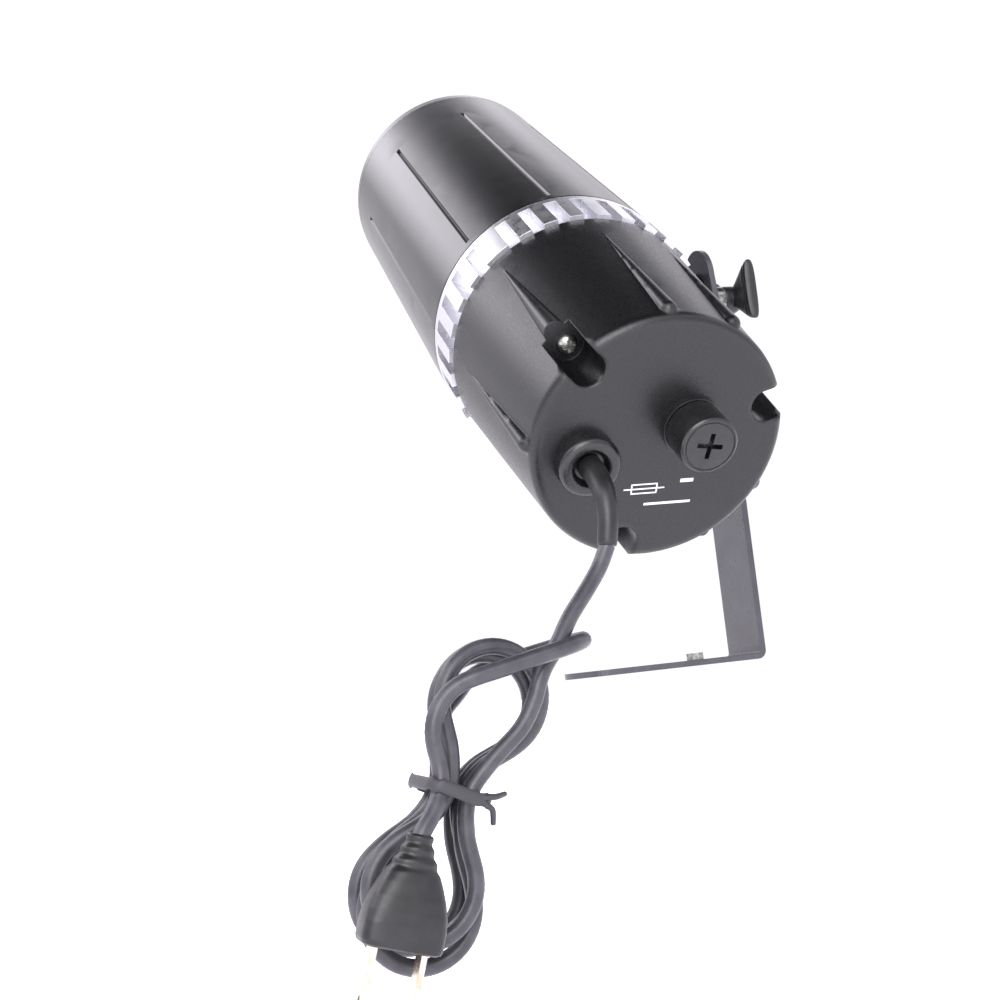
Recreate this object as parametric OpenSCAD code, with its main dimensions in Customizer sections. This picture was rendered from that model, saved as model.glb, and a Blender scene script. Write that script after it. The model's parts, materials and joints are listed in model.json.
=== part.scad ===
// Tilting LED pattern projector on a one-armed steel bracket, with its mains lead.
// Row frame: +X along the tilt axis towards the bracket's arm, +Y the way the light points,
// +Z up. The origin is the centre of the fixing hole, on the underside of the bracket's foot.
// The lamp is drawn in its own frame: z = 0 at its rear face, +z towards the front glass.

/* [Lamp body] */
// Radius of the rear housing at its rear rim
rear_r = 39.5; // [35:0.5:43]
// Length of the rear housing
rear_len = 72.5; // [65:0.5:90]
// Radius of the finned heat sink ring
ring_r = 45; // [44:0.5:52]
// Length of the visible heat sink ring
ring_len = 18.5; // [14:0.5:24]
// Length of the front shell, from the ring to the bezel
shell_len = 139; // [125:1:170]
// Radius of the front shell at its front end
front_r = 42.2; // [40:0.2:48]
// Length of the front bezel
bezel_len = 5.5; // [4:0.5:8]
// Wall of the housing and the shell
wall = 2.5; // [1.8:0.1:3.5]
// Thickness of the rear wall
rear_wall = 3; // [2:0.5:5]

/* [Heat sink] */
// Grooves in each third of the ring
grooves_per_third = 10; // [6:1:12]
// Width of a groove
groove_w = 4.2; // [3:0.1:5]
// Depth of a groove
groove_d = 4.5; // [3:0.5:6]
// Thickness of the web that carries the LED
web_t = 6; // [4:0.5:9]

/* [Housing ribs and screws] */
// Length of a screw pocket
pocket_len = 19; // [14:0.5:24]
// Width of a screw pocket
pocket_w = 10.5; // [9:0.5:13]
// Radius at which the housing screws stand
screw_pcd_r = 34.5; // [33:0.5:36]
// Radius of a needle rib at its rear end
needle_r = 2.6; // [1.5:0.1:3.5]

/* [Optics] */
// Radius of the pattern disc
disc_r = 23.5; // [20:0.5:24]
// Distance of the pattern disc's axis from the optical axis
disc_offset = 17; // [15:0.5:18]
// Radius of the projection lens
lens_r = 24; // [18:0.5:28]
// Radius of the front glass
glass_r = 37.5; // [34:0.5:39]
// Thickness of the front glass
glass_t = 2.5; // [2:0.5:4]

/* [Bracket] */
// Height of the tilt axis above the underside of the foot
pivot_h = 130; // [120:1:180]
// Distance of the arm's outer face from the lamp's axis
arm_x = 59.4; // [58:0.2:70]
// Width of the steel strip
strip_w = 26.5; // [22:0.5:34]
// Thickness of the steel strip
strip_t = 2; // [1.5:0.25:3]
// Reach of the foot past the lamp's axis
foot_past = 9; // [6:0.5:20]
// Radius of the fixing hole
fixing_r = 2.25; // [1.5:0.25:3.5]
// Distance of the stake nut from the fixing hole
nut_x = 38.6; // [20:0.2:44]
// Angle of the lamp above the horizontal
lamp_tilt = 37; // [0:1:60]

/* [Tilt knob] */
// Radius of the tilt stud
stud_r = 3; // [2.5:0.25:4]
// Half span of the knob
knob_span = 17; // [14:0.5:20]
// Half height of a knob lobe at its end
lobe_h = 11.5; // [8:0.5:13]

/* [Mains lead] */
// Diameter of the mains lead
cord_d = 4.6; // [4:0.1:6]
// Radius of the cable gland
gland_r = 9.5; // [8:0.5:11]
// Height of the cable gland over the rear face
gland_h = 6; // [4:0.5:8]

/* [Fuse holder] */
// Radius of the fuse cap
fuse_cap_r = 8.75; // [8:0.25:10]
// Height of the fuse cap over the rear face
fuse_cap_h = 14.5; // [12:0.5:18]

/* [Hidden] */
$fn = 64;

run_gap = 0.05;          // radial clearance of a running fit
slip_gap = 0.1;          // clearance of parts that slide together at assembly
face_gap = 0.3;          // clearance between faces that pass each other

// Stations along the lamp, from the rear face
ring_s = rear_len;
shell_s = ring_s + ring_len;
bezel_s = shell_s + shell_len;
lamp_len = bezel_s + bezel_len;
pivot_s = shell_s + 15;
spigot_len = 6;
edge_r = ring_r - 1.5;                       // front edge of the housing
inner_edge_r = edge_r - wall;                // bore at the front of the housing
shell_inner_r = ring_r - wall - 0.5;         // bore at the rear of the shell
shell_slope = (ring_r - front_r) / shell_len;
front_inner_r = front_r - wall - 0.7;
web_s = ring_s + 4;                          // rear face of the heat sink's web
led_s = web_s + web_t;                       // front face of the web
rim_len = 2.6;                               // unbroken rim in front of the grooves

// Angles about the lamp's axis, from the arm side, seen from the rear
pocket_angles = [16, 136, 256];
needle_angles = [60, 91, 181, 301, 332];
crease_count = 9;
crease_phase = 20;
crease_r = 1.4;
wide_block = 17;                             // degrees between grooves at a wide block
groove_pitch = (120 - wide_block) / (grooves_per_third - 1);

// Places on the rear face, x to the arm side and y down the lamp's back
fuse_at = [9, -5];
gland_at = [-22.7, 4.6];

// Driver and optics
board_s = 50;
board_t = 1.6;
board_r = 28;
post_r = 2.5;
post_ring = 24;
driver_post_angles = [100, 220, 340];
wire_at = [8, -20];
led_board_r = 14;
holder_len = 21;
collimator_r = 12;
plate_s = led_s + 40;
plate_t = 2;
plate_r = shell_inner_r - 1.4;
motor_r = 6;
motor_len = 15;
shaft_r = 1;
optics_post_ring = 33;
barrel_s = plate_s + 30;
glass_s = bezel_s - glass_t - 1.2;
flange_t = 2;
barrel_wall = 2;

// Tilt joint
boss_r = 10;
arm_in = arm_x - strip_t;
washer_t = 1.2;
collar_len = 5.5;
collar_r = 5;
knob_t = 7;
arm_end_rise = 7;
arm_end_r = 11.5;

// Fuse holder
socket_r = 6.2;
socket_bore = 5;
socket_len = 40;
flange_h = 2.5;
carrier_r = socket_bore - slip_gap;
fuse_r = 2.6;
fuse_len = 20;

// Mains lead: route points in the row frame, chosen by hand
sleeve_route = [[-22.7, -84.7, 60.4], [-22.7, -90.3, 56.2], [-22.9, -94.9, 50.5],
    [-23.4, -96.6, 43.5], [-24.6, -96.6, 36]];
lead_route = [[-24.6, -96.6, 36], [-28, -97.2, 30], [-33.5, -99, 23.5], [-39.5, -101.3, 17],
    [-44.5, -103.2, 10], [-50, -104.1, 3]];
tail_route = [[-84.1, -102.6, -0.4], [-85.9, -107.6, -6.8], [-86.6, -111.1, -14.6],
    [-87.8, -113.6, -24], [-89.4, -114.6, -33.6]];
sleeve_r = 3.1;
slot_half = 3.4;
slot_d = 2.5;
hank_at = [-59, -96.6, 13];
hank_slant = 24;
hank_len = 90;
hank_t = 20;
wrap_slant = 35.6;       // of the loose turn that goes round the hank's upper loops
wrap_half = 25.8;
wrap_depth = 15.9;
plug_at = [-98, -114.6, -60];
plug_slant = 18;
plug_len = 28;
plug_w = 21;
plug_t = 15;
blade_w = 6.35;
blade_t = 1.5;
blade_pitch = 12.7;
blade_len = 17;

// ---- frames and helpers ----

module in_lamp() {
    translate([0, 0, pivot_h]) rotate([lamp_tilt - 90, 0, 0]) translate([0, 0, -pivot_s])
        children();
}

module at_angle(a, r = 0) {
    rotate([0, 0, -a]) translate([r, 0, 0]) children();
}

module along_x(x) {
    translate([x, 0, pivot_h]) rotate([0, 90, 0]) children();
}

module tube(r, inner, h) {
    difference() {
        cylinder(r = r, h = h);
        translate([0, 0, -1]) cylinder(r = inner, h = h + 2);
    }
}

function shell_r(s) = ring_r - (s - shell_s) * shell_slope;

// Smooth path through hand-chosen points
function spline_point(p, i, t) =
    let (last = len(p) - 1,
         a = p[max(i - 1, 0)], b = p[i], c = p[min(i + 1, last)], d = p[min(i + 2, last)])
    0.5 * (2 * b + (c - a) * t + (2 * a - 5 * b + 4 * c - d) * t * t
        + (3 * b - a - 3 * c + d) * t * t * t);
function spline(p, steps) = concat(
    [for (i = [0:len(p) - 2], k = [0:steps - 1]) spline_point(p, i, k / steps)],
    [p[len(p) - 1]]);
function unit(v) = v / norm(v);
function tangent(p, i) = unit(p[min(i + 1, len(p) - 1)] - p[max(i - 1, 0)]);
function ring_points(c, t, r, sides) =
    let (u = unit(cross(t, [1, 0, 0.2])), v = cross(t, u))
    [for (k = [0:sides - 1]) c + r * (cos(k * 360 / sides) * u + sin(k * 360 / sides) * v)];

// Tube of one solid along a path, from radius r0 to r1
module sweep(p, r0, r1, sides = 10) {
    n = len(p);
    points = [for (i = [0:n - 1])
        each ring_points(p[i], tangent(p, i), r0 + (r1 - r0) * i / (n - 1), sides)];
    sides_faces = [for (i = [0:n - 2], k = [0:sides - 1])
        let (a = i * sides + k, b = i * sides + (k + 1) % sides)
        [a, b, b + sides, a + sides]];
    caps = [[for (k = [0:sides - 1]) sides - 1 - k],
            [for (k = [0:sides - 1]) (n - 1) * sides + k]];
    polyhedron(points, concat(sides_faces, caps), convexity = 4);
}

// ---- bracket ----

module bracket() {
    foot_w = arm_x + foot_past - strip_w / 2;
    bend_r = 3;
    color("slategray") difference() {
        union() {
            // foot with a round free end
            translate([strip_w / 2 - foot_past, -strip_w / 2, 0])
                cube([foot_w - bend_r, strip_w, strip_t]);
            translate([strip_w / 2 - foot_past, 0, 0]) cylinder(r = strip_w / 2, h = strip_t);
            // bend
            translate([arm_x - bend_r, strip_w / 2, bend_r]) rotate([90, 0, 0])
                linear_extrude(strip_w) intersection() {
                    difference() {
                        circle(r = bend_r);
                        circle(r = bend_r - strip_t);
                    }
                    translate([0, -bend_r]) square(bend_r);
                }
            // arm, tapering to a round end above the tilt axis
            translate([arm_in, 0, 0]) rotate([90, 0, 90]) linear_extrude(strip_t)
                polygon([[-strip_w / 2, bend_r], [strip_w / 2, bend_r],
                    [strip_w / 2, pivot_h - 6], [arm_end_r, pivot_h + arm_end_rise],
                    [-arm_end_r, pivot_h + arm_end_rise], [-strip_w / 2, pivot_h - 6]]);
            translate([arm_in, 0, pivot_h + arm_end_rise]) rotate([0, 90, 0])
                cylinder(r = arm_end_r, h = strip_t);
        }
        translate([0, 0, -1]) cylinder(r = fixing_r, h = strip_t + 2);
        translate([nut_x, 0, -1]) cylinder(r = 1.7, h = strip_t + 2);
        along_x(arm_in - 1) cylinder(r = stud_r + run_gap, h = strip_t + 2);
    }
}

module stake_nut() {
    color("silver") translate([nut_x, 0, strip_t]) difference() {
        cylinder(d = 5.5 / cos(30), h = 2.4, $fn = 6);
        translate([0, 0, -1]) cylinder(r = 1.25, h = 5);
    }
}

// ---- tilt joint ----

module pivot_boss() {
    in_r = shell_r(pivot_s) - 2;
    color([0.05, 0.05, 0.06]) in_lamp() difference() {
        translate([in_r, 0, pivot_s]) rotate([0, 90, 0]) difference() {
            cylinder(r = boss_r, h = arm_in - washer_t - in_r);
            translate([0, 0, 4]) cylinder(r = stud_r + run_gap, h = arm_in);
        }
        translate([0, 0, shell_s + 0.8])
            cylinder(r1 = ring_r, r2 = front_r, h = shell_len - 0.8, $fn = 120);
    }
}

module friction_washer() {
    color([0.1, 0.1, 0.1]) along_x(arm_in - washer_t) tube(boss_r, stud_r + 0.4, washer_t);
}

module knob_washer() {
    color("silver") along_x(arm_x) tube(6.5, stud_r + 0.3, washer_t);
}

module tilt_stud() {
    color("silver") {
        in_r = shell_r(pivot_s) + 2.5;
        along_x(in_r) cylinder(r = stud_r, h = arm_x + washer_t + collar_len + 3 - in_r);
        along_x(arm_x + washer_t) cylinder(r = collar_r, h = collar_len);
    }
}

// Bow-tie knob with two lobes along Y, dished outwards
module tilt_knob() {
    lobe_in = 4;
    color([0.04, 0.04, 0.05]) translate([arm_x + washer_t + collar_len, 0, pivot_h])
        difference() {
            union() {
                rotate([0, 90, 0]) cylinder(r = 7, h = knob_t);
                for (side = [-1, 1])
                    hull() {
                        for (z = [-1, 1]) {
                            translate([3.5, side * (knob_span - 2.5), z * (lobe_h - 2.5)])
                                rotate([0, 90, 0]) cylinder(r = 2.5, h = 8, $fn = 24);
                            translate([0.8, side * lobe_in, z * 3])
                                rotate([0, 90, 0]) cylinder(r = 2.5, h = 5.5, $fn = 24);
                        }
                    }
            }
            translate([-1, 0, 0]) rotate([0, 90, 0]) cylinder(r = stud_r, h = 4);
        }
}

// ---- lamp shells ----

module pocket_shape(grow, s0, s1) {
    // U-shaped channel that opens outwards
    translate([screw_pcd_r, 0, s0]) cylinder(r = pocket_w / 2 + grow, h = s1 - s0);
    translate([screw_pcd_r, -pocket_w / 2 - grow, s0])
        cube([rear_r, pocket_w + 2 * grow, s1 - s0]);
}

module housing_outline() {
    rim = 3;
    rotate_extrude($fn = 120) difference() {
        union() {
            polygon([[0, 0], [rear_r - rim, 0], [rear_r - rim, rim], [rear_r, rim],
                [edge_r, rear_len], [0, rear_len]]);
            translate([rear_r - rim, rim]) intersection() {
                circle(r = rim);
                translate([0, -rim]) square(rim);
            }
        }
    }
}

module housing_cavity() {
    rotate_extrude($fn = 120)
        polygon([[0, rear_wall], [rear_r - wall - 1, rear_wall], [rear_r - wall, rear_wall + 1],
            [inner_edge_r, rear_len - spigot_len - 8], [inner_edge_r, rear_len + 1],
            [0, rear_len + 1]]);
}

// Half-round rib whose sharp point lies near the ring
module needle(a, s0, length, r) {
    slope = atan((edge_r - rear_r) / rear_len);
    start_r = rear_r + s0 * tan(slope) - 0.4;
    at_angle(a, start_r) translate([0, 0, s0]) rotate([0, slope, 0]) {
        cylinder(r1 = r, r2 = 0.3, h = length, $fn = 32);
        sphere(r = r, $fn = 32);
    }
}

module rear_housing() {
    color([0.09, 0.09, 0.1]) in_lamp() difference() {
        union() {
            difference() {
                union() {
                    housing_outline();
                    for (a = needle_angles) needle(a, 5, rear_len - 14.5, needle_r);
                    for (a = pocket_angles)
                        needle(a, pocket_len - 1, rear_len - pocket_len - 3.5, needle_r + 0.9);
                }
                housing_cavity();
            }
            intersection() {
                housing_outline();
                for (a = pocket_angles) at_angle(a)
                    pocket_shape(1.8, 0.5, pocket_len + 2.5);
            }
        }
        for (a = pocket_angles) at_angle(a) {
            pocket_shape(0, -1, pocket_len);
            translate([screw_pcd_r, 0, 0]) cylinder(r = 1.6, h = pocket_len + 5, $fn = 32);
        }
        translate([fuse_at[0], fuse_at[1], -1]) cylinder(r = socket_r + slip_gap, h = 6);
        translate([gland_at[0], gland_at[1], -1]) cylinder(r = 7 + slip_gap, h = 6);
    }
}

module housing_screws() {
    seat = pocket_len;
    color("silver") in_lamp() for (a = pocket_angles) at_angle(a, screw_pcd_r)
        difference() {
            union() {
                translate([0, 0, seat]) cylinder(r = 1.5, h = web_s + 4 - seat, $fn = 32);
                translate([0, 0, seat - 2.2]) cylinder(r = 3.15, h = 2.2, $fn = 48);
            }
            for (turn = [0, 90]) rotate([0, 0, turn])
                translate([-1.8, -0.4, seat - 3.2]) cube([3.6, 0.8, 2.2]);
        }
}

module heat_sink() {
    color("gainsboro") in_lamp() difference() {
        union() {
            translate([0, 0, ring_s]) cylinder(r = ring_r, h = ring_len, $fn = 120);
            translate([0, 0, ring_s - spigot_len])
                cylinder(r = inner_edge_r - slip_gap, h = spigot_len + 0.01, $fn = 120);
            translate([0, 0, shell_s - 0.01])
                cylinder(r = shell_inner_r - slip_gap, h = spigot_len + 0.01, $fn = 120);
        }
        // hollow behind and in front of the web
        translate([0, 0, ring_s - spigot_len - 1])
            cylinder(r = screw_pcd_r - 3.5, h = web_s - ring_s + spigot_len + 1, $fn = 96);
        translate([0, 0, led_s]) cylinder(r = ring_r - groove_d - 2.5, h = 60, $fn = 96);
        // grooves of the ring
        for (third = [0:2], i = [0:grooves_per_third - 1])
            at_angle(pocket_angles[1] - 2 + third * 120 + wide_block / 2 + i * groove_pitch)
                translate([ring_r - groove_d, -groove_w / 2, ring_s - 1])
                    cube([groove_d + 1, groove_w, ring_len - rim_len + 1]);
        // seal grooves
        translate([0, 0, ring_s - 4]) tube(inner_edge_r + 1, inner_edge_r - 1.2, 2);
        translate([0, 0, shell_s + 2]) tube(shell_inner_r + 1, shell_inner_r - 1.2, 2);
        // screw holes and wire hole
        for (a = pocket_angles) at_angle(a, screw_pcd_r)
            translate([0, 0, ring_s - 20]) cylinder(r = 1.5 + run_gap, h = web_s + 5 - ring_s + 20,
                $fn = 32);
        translate([wire_at[0], wire_at[1], 0]) cylinder(r = 2.5, h = shell_s, $fn = 32);
    }
}

module housing_seal() {
    color("dimgray") in_lamp() translate([0, 0, ring_s - 3.9])
        tube(inner_edge_r - 0.02, inner_edge_r - 1.15, 1.8);
}

module shell_seal() {
    color("dimgray") in_lamp() translate([0, 0, shell_s + 2.1])
        tube(shell_inner_r - 0.02, shell_inner_r - 1.15, 1.8);
}

module front_shell() {
    crease_len = shell_len * 0.8;
    color([0.05, 0.05, 0.07]) in_lamp() difference() {
        rotate_extrude($fn = 120)
            polygon([[shell_inner_r, shell_s], [ring_r - 0.4, shell_s], [ring_r, shell_s + 0.8],
                [front_r, bezel_s], [glass_r + 1, bezel_s],
                [glass_r + 1, glass_s - flange_t - 1.5], [front_inner_r - 3.5,
                glass_s - flange_t - 1.5], [front_inner_r, glass_s - flange_t - 7],
                [shell_inner_r, shell_s + spigot_len + 2]]);
        // long shallow creases, deepest beside the ring
        for (i = [0:crease_count - 1]) at_angle(crease_phase + i * 360 / crease_count, ring_r + 0.5)
            translate([0, 0, shell_s + 4]) rotate([0, -atan(shell_slope), 0])
                cylinder(r = crease_r, h = crease_len, $fn = 4);
    }
}

module front_bezel() {
    color([0.02, 0.02, 0.03]) in_lamp() rotate_extrude($fn = 120)
        polygon([[glass_r - 3.5, bezel_s - 1.2 + 0.6], [glass_r + 1 - slip_gap, bezel_s - 0.6],
            [glass_r + 1 - slip_gap, bezel_s], [front_r, bezel_s], [front_r - 0.3, lamp_len - 1],
            [front_r - 1.3, lamp_len], [glass_r - 2, lamp_len], [glass_r - 3.5, bezel_s + 1.5]]);
}

module glass_seal() {
    color("dimgray") in_lamp() translate([0, 0, bezel_s - 1.2])
        tube(glass_r, glass_r - 2.5, 0.6);
}

module front_glass() {
    color([0.7, 0.8, 0.9, 0.4]) in_lamp() translate([0, 0, glass_s])
        cylinder(r = glass_r, h = glass_t, $fn = 96);
}

// ---- light source and optics ----

module led_board() {
    color("white") in_lamp() translate([0, 0, led_s]) cylinder(r = led_board_r, h = board_t);
}

module led_emitter() {
    color("khaki") in_lamp() translate([0, 0, led_s + board_t]) {
        translate([-3.5, -3.5, 0]) cube([7, 7, 1]);
        translate([0, 0, 1]) intersection() {
            sphere(r = 2.6, $fn = 32);
            cylinder(r = 3, h = 3);
        }
    }
}

module lens_holder() {
    base = led_s + board_t;
    color([0.05, 0.05, 0.05]) in_lamp() translate([0, 0, base]) difference() {
        cylinder(r = led_board_r, h = holder_len);
        translate([0, 0, 2]) cylinder(r1 = 7, r2 = collimator_r - 1.2, h = holder_len - 5);
        translate([0, 0, -1]) cylinder(r = 7, h = 4);
        translate([0, 0, holder_len - 3.01]) cylinder(r = collimator_r + slip_gap, h = 4);
    }
}

module collimator_lens() {
    seat = led_s + board_t + holder_len - 3;
    color([0.8, 0.9, 1, 0.5]) in_lamp() translate([0, 0, seat]) {
        cylinder(r = collimator_r, h = 2.2);
        translate([0, 0, 2.2]) intersection() {
            translate([0, 0, -19]) sphere(r = 21, $fn = 64);
            cylinder(r = collimator_r - 3.5, h = 3);
        }
    }
}

module optics_posts() {
    color("silver") in_lamp() for (a = [30, 150, 270]) at_angle(a, optics_post_ring)
        translate([0, 0, led_s]) cylinder(r = post_r, h = plate_s - led_s);
}

module motor_plate() {
    color("dimgray") in_lamp() translate([0, 0, plate_s]) difference() {
        cylinder(r = plate_r, h = plate_t, $fn = 96);
        translate([0, 0, -1]) cylinder(r = 9, h = plate_t + 2);
        translate([0, disc_offset, -1]) cylinder(r = shaft_r + 1, h = plate_t + 2, $fn = 32);
        for (side = [-1, 1]) translate([side * 4.2, disc_offset, -1])
            cylinder(r = 0.85, h = plate_t + 2, $fn = 24);
        at_angle(90, 28) translate([0, 0, -1]) cylinder(r = 3.5, h = plate_t + 2, $fn = 32);
    }
}

module disc_motor() {
    color("silver") in_lamp() translate([0, disc_offset, plate_s - motor_len]) difference() {
        cylinder(r = motor_r, h = motor_len);
        translate([0, 0, 3]) cylinder(r = shaft_r + run_gap, h = motor_len, $fn = 32);
        for (side = [-1, 1]) translate([side * 4.2, 0, motor_len - 4])
            cylinder(r = 0.8, h = 5, $fn = 24);
    }
}

module motor_screws() {
    color("silver") in_lamp() for (side = [-1, 1])
        translate([side * 4.2, disc_offset, plate_s - 3.5]) {
            cylinder(r = 0.78, h = plate_t + 3.5, $fn = 24);
            translate([0, 0, plate_t + 3.5]) cylinder(r = 1.5, h = 0.8, $fn = 24);
        }
}

module motor_shaft() {
    color("silver") in_lamp() translate([0, disc_offset, plate_s - motor_len + 4])
        cylinder(r = shaft_r, h = motor_len + plate_t + 3.5, $fn = 32);
}

module pattern_disc() {
    disc_s = plate_s + plate_t + 2;
    windows = 6;
    color("lightsteelblue") in_lamp() translate([0, disc_offset, disc_s]) difference() {
        union() {
            cylinder(r = disc_r, h = 1, $fn = 96);
            cylinder(r = 3.5, h = 3, $fn = 32);
        }
        translate([0, 0, -1]) cylinder(r = shaft_r, h = 6, $fn = 32);
        for (i = [0:windows - 1]) rotate([0, 0, i * 360 / windows])
            translate([0, -disc_offset, -1]) cylinder(r = 5, h = 3, $fn = 32);
    }
}

module lens_barrel() {
    flange_s = glass_s - flange_t;
    color([0.04, 0.04, 0.04]) in_lamp() difference() {
        union() {
            translate([0, 0, barrel_s]) cylinder(r = lens_r + barrel_wall, h = flange_s - barrel_s
                + flange_t);
            translate([0, 0, flange_s]) cylinder(r = glass_r + 1 - slip_gap, h = flange_t,
                $fn = 96);
        }
        translate([0, 0, barrel_s - 1]) cylinder(r = lens_r - 2, h = lamp_len);
        translate([0, 0, flange_s - 8]) cylinder(r = lens_r + slip_gap, h = lamp_len);
    }
}

module projection_lens() {
    seat = glass_s - flange_t - 8;
    color([0.8, 0.9, 1, 0.5]) in_lamp() translate([0, 0, seat]) {
        cylinder(r = lens_r, h = 2.5, $fn = 96);
        translate([0, 0, 2.5 - 0.001]) intersection() {
            translate([0, 0, -40]) sphere(r = 45, $fn = 96);
            cylinder(r = lens_r, h = 6, $fn = 96);
        }
    }
}

// ---- driver ----

module driver_posts() {
    color("silver") in_lamp() for (a = driver_post_angles) at_angle(a, post_ring)
        translate([0, 0, board_s + board_t]) difference() {
            cylinder(r = post_r, h = web_s - board_s - board_t);
            translate([0, 0, -1]) cylinder(r = 1.25, h = 8, $fn = 32);
        }
}

module driver_board() {
    color("darkgreen") in_lamp() translate([0, 0, board_s]) difference() {
        cylinder(r = board_r, h = board_t, $fn = 96);
        for (a = driver_post_angles) at_angle(a, post_ring) translate([0, 0, -1])
            cylinder(r = 1.4, h = board_t + 2, $fn = 32);
        translate([wire_at[0], wire_at[1], -1]) cylinder(r = 2.5, h = board_t + 2, $fn = 32);
    }
}

module driver_parts() {
    color("goldenrod") in_lamp() translate([0, 0, board_s]) {
        translate([-20, -10, -13]) cube([15, 16, 13]);
        translate([12, 14, -12]) cylinder(r = 4, h = 12, $fn = 32);
        translate([0, 16, -9]) cylinder(r = 3.2, h = 9, $fn = 32);
        translate([-12, 14, -5]) cube([6, 4, 5]);
    }
}

module board_screws() {
    color("silver") in_lamp() for (a = driver_post_angles) at_angle(a, post_ring)
        translate([0, 0, board_s - 1.6]) {
            cylinder(r = 2.4, h = 1.6, $fn = 32);
            cylinder(r = 1.2, h = 8, $fn = 32);
        }
}

module supply_lead() {
    color([0.3, 0.1, 0.1]) in_lamp() translate([gland_at[0], gland_at[1], 0])
        translate([0, 0, 4.2]) cylinder(r = 1.8, h = board_s - 4.2, $fn = 24);
}

module led_leads() {
    color("firebrick") in_lamp() translate([wire_at[0], wire_at[1], board_s + board_t])
        cylinder(r = 1.5, h = led_s + 1 - board_s - board_t, $fn = 24);
}

// ---- fuse holder ----

module in_fuse() {
    in_lamp() translate([fuse_at[0], fuse_at[1], 0]) children();
}

module fuse_socket() {
    color([0.06, 0.06, 0.06]) in_fuse() difference() {
        union() {
            translate([0, 0, -flange_h]) cylinder(r = fuse_cap_r + 0.5, h = flange_h);
            cylinder(r = socket_r, h = socket_len);
        }
        translate([0, 0, -flange_h - 1]) cylinder(r = socket_bore, h = socket_len + flange_h - 2);
    }
}

module fuse_nut() {
    color([0.06, 0.06, 0.06]) in_fuse() translate([0, 0, rear_wall]) difference() {
        cylinder(r = 9.2, h = 3.5, $fn = 6);
        translate([0, 0, -1]) cylinder(r = socket_r + run_gap, h = 6);
    }
}

module fuse_carrier() {
    color([0.1, 0.1, 0.1]) in_fuse() difference() {
        translate([0, 0, -9]) cylinder(r = carrier_r, h = 9 + 8 + fuse_len);
        translate([0, 0, 8]) cylinder(r = fuse_r + slip_gap, h = fuse_len + 1);
    }
}

module fuse_link() {
    color("silver") in_fuse() translate([0, 0, 8]) {
        cylinder(r = fuse_r, h = 5, $fn = 48);
        cylinder(r = fuse_r - 0.2, h = fuse_len - 0.5, $fn = 48);
        translate([0, 0, fuse_len - 5.5]) cylinder(r = fuse_r, h = 5, $fn = 48);
    }
}

module fuse_cap() {
    base = -flange_h - face_gap;
    color([0.05, 0.05, 0.05]) in_fuse() difference() {
        translate([0, 0, -fuse_cap_h]) cylinder(r = fuse_cap_r, h = fuse_cap_h + base);
        translate([0, 0, -9 - slip_gap]) cylinder(r = socket_bore - 0.02, h = 9);
        for (turn = [45, 135]) rotate([0, 0, turn])
            translate([-4, -0.9, -fuse_cap_h - 1]) cube([8, 1.8, 3]);
    }
}

// ---- gland and mains lead ----

module gland() {
    color([0.05, 0.05, 0.05]) in_lamp() translate([gland_at[0], gland_at[1], 0]) difference() {
        union() {
            translate([0, 0, -gland_h]) cylinder(r = gland_r, h = gland_h);
            cylinder(r = 7, h = rear_wall + 6);
        }
        translate([0, 0, 4]) cylinder(r = 2, h = 20, $fn = 32);
        // slot from the lead's hole to the edge
        rotate([0, 0, 35]) translate([0, -slot_half, -gland_h - 1])
            cube([gland_r + 1, 2 * slot_half, slot_d + 1]);
        translate([0, 0, -gland_h - 1]) cylinder(r = slot_half + 0.3, h = slot_d + 1);
    }
}

module gland_nut() {
    color([0.05, 0.05, 0.05]) in_lamp() translate([gland_at[0], gland_at[1], rear_wall])
        difference() {
            cylinder(r = 9.5, h = 3.5, $fn = 6);
            translate([0, 0, -1]) cylinder(r = 7 + run_gap, h = 6);
        }
}

module cord_sleeve() {
    color([0.12, 0.12, 0.13]) sweep(spline(sleeve_route, 3), sleeve_r, cord_d / 2 + 0.3);
}

module mains_lead() {
    color([0.15, 0.15, 0.16]) sweep(spline(lead_route, 3), cord_d / 2, cord_d / 2);
}

module plug_tail() {
    color([0.15, 0.15, 0.16]) sweep(spline(tail_route, 3), cord_d / 2, cord_d / 2);
}

module in_hank() {
    translate(hank_at) rotate([0, hank_slant, 0]) children();
}

// Outer shape of the tied hank: loops above and below a narrow waist, and a loose turn round
// the upper loops
module lead_hank() {
    color([0.14, 0.14, 0.15]) in_hank() {
        rotate([90, 0, 0]) translate([0, 0, -hank_t / 2]) linear_extrude(hank_t) union() {
            translate([2, -17]) circle(r = 16);
            translate([5.5, -15.5]) circle(r = 16);
            polygon([[-14, -20], [-6, -39], [-6, -45], [-15, -70], [15, -70], [6, -45], [6, -39],
                [21, -20]]);
            translate([0, 17 - hank_len]) circle(r = 16);
        }
        translate([2, 0.3, -7]) rotate([0, -wrap_slant, 0]) translate([0, 0, -2.6])
            linear_extrude(5.2) union() {
                square([2 * (wrap_half - wrap_depth), 2 * wrap_depth], center = true);
                for (side = [-1, 1]) translate([side * (wrap_half - wrap_depth), 0])
                    circle(r = wrap_depth);
            }
    }
}

module hank_tie() {
    color([0.1, 0.1, 0.11]) in_hank() translate([0, 0, -42]) difference() {
        translate([-8.2, -hank_t / 2 - 1.4, -2]) cube([16.4, hank_t + 2.8, 4]);
        translate([-6.8, -hank_t / 2, -3]) cube([13.6, hank_t, 6]);
    }
}

module in_plug() {
    translate(plug_at) rotate([0, plug_slant, 0]) children();
}

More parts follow.
